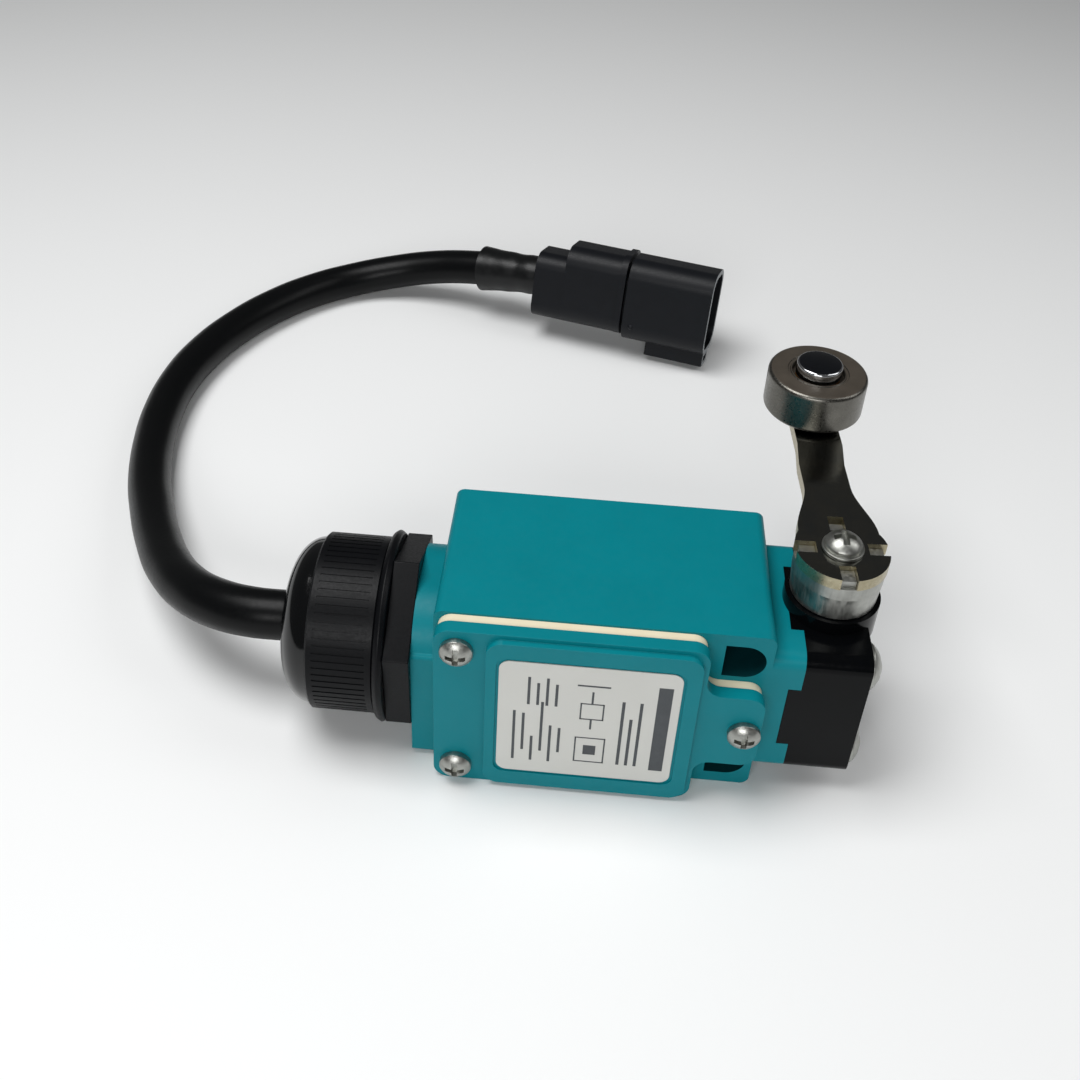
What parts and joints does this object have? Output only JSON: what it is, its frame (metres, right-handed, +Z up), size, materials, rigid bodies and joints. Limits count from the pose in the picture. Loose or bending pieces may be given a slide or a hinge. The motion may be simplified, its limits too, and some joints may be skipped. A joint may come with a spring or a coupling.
{
  "type": "limit switch",
  "caption": "Side-rotary limit switch: teal die-cast body, black head, roller lever, cable gland and a short cable ending in a sealed two-way connector.",
  "frame": {"origin": "under the middle of the switch's own box, without the cable and what is on it, on the table it lies on", "axes": "+X along the body from the cable gland to the head, +Y out of the mounting face (the front cover faces -Y), +Z up out of the lever side"},
  "size_m": [0.133, 0.1435, 0.0483],
  "materials": {
    "teal_enamel": "semi-gloss stoved enamel on die-cast zinc",
    "cream_rubber": "matt moulded rubber",
    "label_film": "satin printed polyester film, left blank",
    "zinc_plate": "bright zinc plate on pressed screws",
    "black_enamel": "gloss stoved enamel on die-cast zinc",
    "bronze": "oiled sintered bronze",
    "black_rubber": "matt moulded rubber",
    "turned_steel": "turned steel",
    "spring_steel": "drawn wire",
    "natural_nylon": "moulded natural nylon",
    "dark_thermoset": "moulded thermoset",
    "red_thermoset": "moulded thermoset",
    "contact_brass": "pressed brass strip",
    "earth_green": "green passivated screw",
    "cast_zinc": "tumbled zinc casting, bright plated",
    "plated_arm": "bright zinc-plated pressed steel",
    "roller_steel": "turned and ground steel",
    "axle_chrome": "polished rivet head",
    "gland_nylon": "moulded black nylon, fine spark texture",
    "cable_pvc": "satin extruded jacket",
    "brown_core": "extruded core insulation",
    "blue_core": "extruded core insulation",
    "shrink_sleeve": "shrunk polyolefin",
    "plug_thermoplastic": "moulded black thermoplastic",
    "orange_silicone": "moulded silicone",
    "orange_lock": "moulded thermoplastic",
    "pin_nickel": "nickel plate"
  },
  "bodies": {
    "root": {"housing": "teal_enamel", "cover_gasket": "cream_rubber", "front_cover": "teal_enamel", "rating_label": "label_film", "cover_screws": "zinc_plate", "head_housing": "black_enamel", "head_seal": "black_rubber", "head_screws": "zinc_plate", "shaft_bush": "bronze", "shaft_seal": "black_rubber", "return_spring": "spring_steel", "plunger_spring": "spring_steel", "block_base": "dark_thermoset", "block_cover": "red_thermoset", "fixed_contacts": "contact_brass", "terminal_screws": "contact_brass", "terminal_clamps": "zinc_plate", "block_screws": "zinc_plate", "earth_screw": "earth_green", "earth_washer": "zinc_plate", "gland_body": "gland_nylon", "gland_face_seal": "black_rubber", "gland_claw": "gland_nylon", "gland_seal": "black_rubber", "gland_ring": "gland_nylon", "gland_nut": "gland_nylon", "cable_tail": "cable_pvc", "brown_core": "brown_core", "blue_core": "blue_core", "cable": "cable_pvc", "heat_shrink_sleeve": "shrink_sleeve", "connector_boot": "plug_thermoplastic", "connector_shell": "plug_thermoplastic", "wire_seal": "orange_silicone", "wedge_lock": "orange_lock", "contact_pins": "pin_nickel"},
    "lever": {"operating_shaft": "turned_steel", "shaft_clip": "spring_steel", "cam": "turned_steel", "lever_hub": "cast_zinc", "lever_arm": "plated_arm", "lever_washer": "zinc_plate", "lever_screw": "zinc_plate", "roller_axle": "axle_chrome", "axle_washer": "zinc_plate"},
    "roller": {"roller": "roller_steel", "roller_bush": "bronze"},
    "plunger": {"head_plunger": "natural_nylon"},
    "carrier": {"contact_carrier": "natural_nylon", "contact_bridges": "contact_brass"}
  },
  "joints": [
    {"name": "lever_turn", "type": "hinge", "parent": "root", "child": "lever", "pos_m": [0.0366, -0.01066, 0.033], "axis": [0, 0, 1], "range_deg": [-75, 75], "stiffness_Nm_per_rad": 0.12, "deforming": ["return_spring"]},
    {"name": "roller_spin", "type": "hinge", "parent": "lever", "child": "roller", "pos_m": [0.03517, 0.02081, 0.043], "axis": [0, 0, 1], "continuous": true},
    {"name": "plunger_slide", "type": "slide", "parent": "root", "child": "plunger", "axis": [-1, 0, 0], "range_m": [0, 0.002], "stiffness_N_per_m": 400, "deforming": ["plunger_spring"]},
    {"name": "contact_slide", "type": "slide", "parent": "root", "child": "carrier", "axis": [-1, 0, 0], "range_m": [0, 0.002]}
  ],
  "couplings": [
    {"joint": "contact_slide", "follows": "plunger_slide", "ratio": 1}
  ]
}
